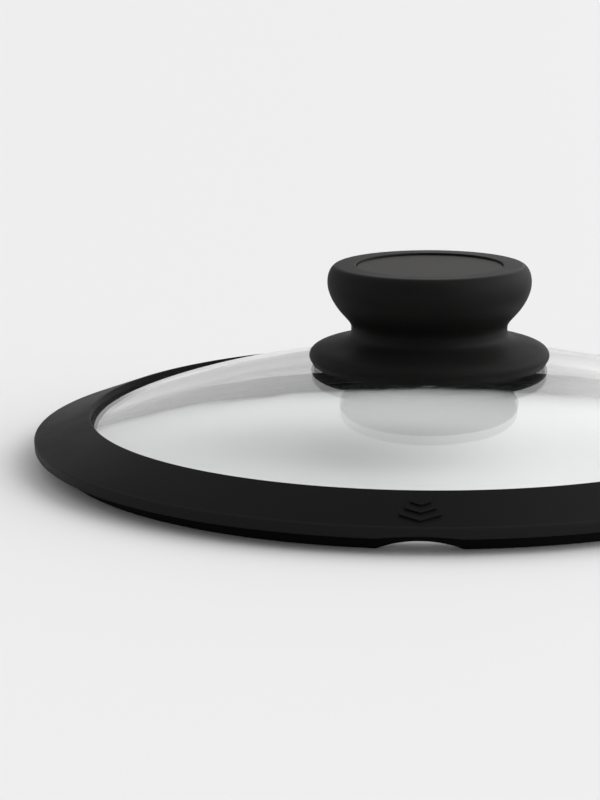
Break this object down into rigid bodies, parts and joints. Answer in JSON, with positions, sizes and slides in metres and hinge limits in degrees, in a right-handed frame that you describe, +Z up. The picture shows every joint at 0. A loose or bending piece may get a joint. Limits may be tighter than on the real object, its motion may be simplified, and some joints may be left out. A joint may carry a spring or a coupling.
{
  "type": "saucepan lid",
  "caption": "Domed glass saucepan lid with a silicone rim that grips the glass, a steam notch, and a flared round knob held by a screw from below.",
  "frame": {"origin": "centre of the circle on which the skirt of the rim stands, on the surface under the lid", "axes": "+Z up along the axis of the glass and the knob; -Y points at the steam notch; +X to the right seen from the notch"},
  "size_m": [0.19, 0.19, 0.0462],
  "materials": {
    "tempered_glass": "clear, polished",
    "seal_silicone": "satin black silicone",
    "grip_silicone": "matt black silicone, soft to the touch",
    "clear_silicone": "translucent silicone",
    "knob_nylon": "moulded, heat resistant",
    "cap_plastic": "satin dark grey",
    "stainless_steel": "satin",
    "brass": "machined"
  },
  "bodies": {
    "lid": {"glass_dome": "tempered_glass", "rim_seal": "seal_silicone", "hole_bush": "clear_silicone", "washer_gasket": "clear_silicone", "dished_washer": "stainless_steel"},
    "knob": {"knob_grip": "grip_silicone", "knob_core": "knob_nylon", "knob_cap": "cap_plastic", "threaded_insert": "brass", "knob_screw": "stainless_steel"}
  },
  "joints": [
    {"name": "knob_turn", "type": "hinge", "parent": "lid", "child": "knob", "pos_m": [0, 0, 0.0224], "axis": [0, 0, 1], "continuous": true}
  ]
}
